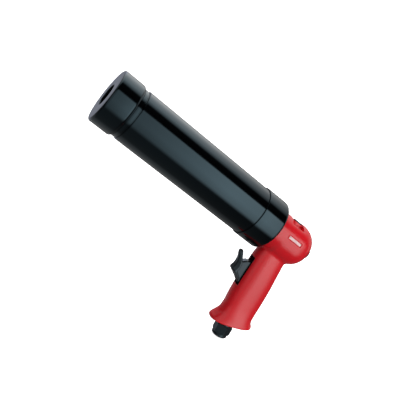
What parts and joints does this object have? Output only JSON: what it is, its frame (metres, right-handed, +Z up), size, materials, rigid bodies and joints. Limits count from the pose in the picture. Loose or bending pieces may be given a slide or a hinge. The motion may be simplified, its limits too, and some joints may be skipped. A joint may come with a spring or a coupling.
{
  "type": "pneumatic caulking gun",
  "caption": "Air-powered caulking gun: black barrel with screw-off front cap, red pistol grip with trigger, bleed button, flow screw and air inlet.",
  "frame": {"origin": "centre of the bounding box in X and Y, at its lowest point in Z, which is the end of the air inlet", "axes": "+X along the barrel towards the front cap, +Z up and away from the grip, Y = 0 the plane of symmetry"},
  "size_m": [0.293, 0.06, 0.168],
  "materials": {
    "black_paint": "gloss black enamel",
    "red_paint": "semi-gloss red enamel on a casting",
    "black_plastic": "satin black moulding",
    "black_steel": "black oxide",
    "rubber": "matt",
    "brass": "turned",
    "steel": "drawn wire and ground pin",
    "badge": "blank pale plate"
  },
  "bodies": {
    "housing": {"front_thread_ring": "black_paint", "barrel_tube": "black_paint", "rear_collar": "black_paint", "collar_washer": "rubber", "barrel_gasket": "rubber", "cartridge_seal": "rubber", "head_body": "red_paint", "badge_left": "badge", "badge_right": "badge", "chamber_plug": "brass", "air_screen": "brass", "release_spring": "steel", "trigger_pin": "steel", "valve_bush": "brass", "stem_seal": "rubber", "valve_seat": "brass", "valve_spring": "steel", "inlet_bushing": "black_steel", "inlet_seal": "rubber", "inlet_screen": "brass"},
    "cap_washer": {"cap_washer": "rubber"},
    "front_cap": {"front_cap": "black_paint"},
    "trigger": {"trigger": "black_plastic"},
    "valve_stem": {"valve_stem": "brass"},
    "release_button": {"release_button": "black_plastic", "release_poppet": "rubber"},
    "regulator_screw": {"regulator_screw": "black_steel", "regulator_seal": "rubber"}
  },
  "joints": [
    {"name": "cap_travel", "type": "slide", "parent": "housing", "child": "cap_washer", "axis": [1, 0, 0], "range_m": [0, 0.01952]},
    {"name": "cap_turn", "type": "hinge", "parent": "cap_washer", "child": "front_cap", "pos_m": [0.13451, 0, 0.13803], "axis": [1, 0, 0], "range_deg": [0, 2340]},
    {"name": "trigger_pull", "type": "hinge", "parent": "housing", "child": "trigger", "pos_m": [-0.09849, 0, 0.06703], "axis": [0, -1, 0], "range_deg": [0, 8], "stiffness_Nm_per_rad": 0.4, "springref_deg": -11.46, "deforming": ["valve_spring"]},
    {"name": "valve_travel", "type": "slide", "parent": "housing", "child": "valve_stem", "axis": [-1, 0, 0], "range_m": [0, 0.00295]},
    {"name": "button_press", "type": "slide", "parent": "housing", "child": "release_button", "axis": [0, 0, -1], "range_m": [0, 0.0016], "stiffness_N_per_m": 120, "springref_m": -0.003, "deforming": ["release_spring"]},
    {"name": "flow_screw", "type": "hinge", "parent": "housing", "child": "regulator_screw", "pos_m": [-0.12849, 0, 0.13803], "axis": [1, 0, 0], "range_deg": [-360, 360]}
  ],
  "couplings": [
    {"joint": "cap_travel", "follows": "cap_turn", "m_per_rad": 0.00047746},
    {"joint": "valve_travel", "follows": "trigger_pull", "m_per_rad": 0.0211}
  ]
}
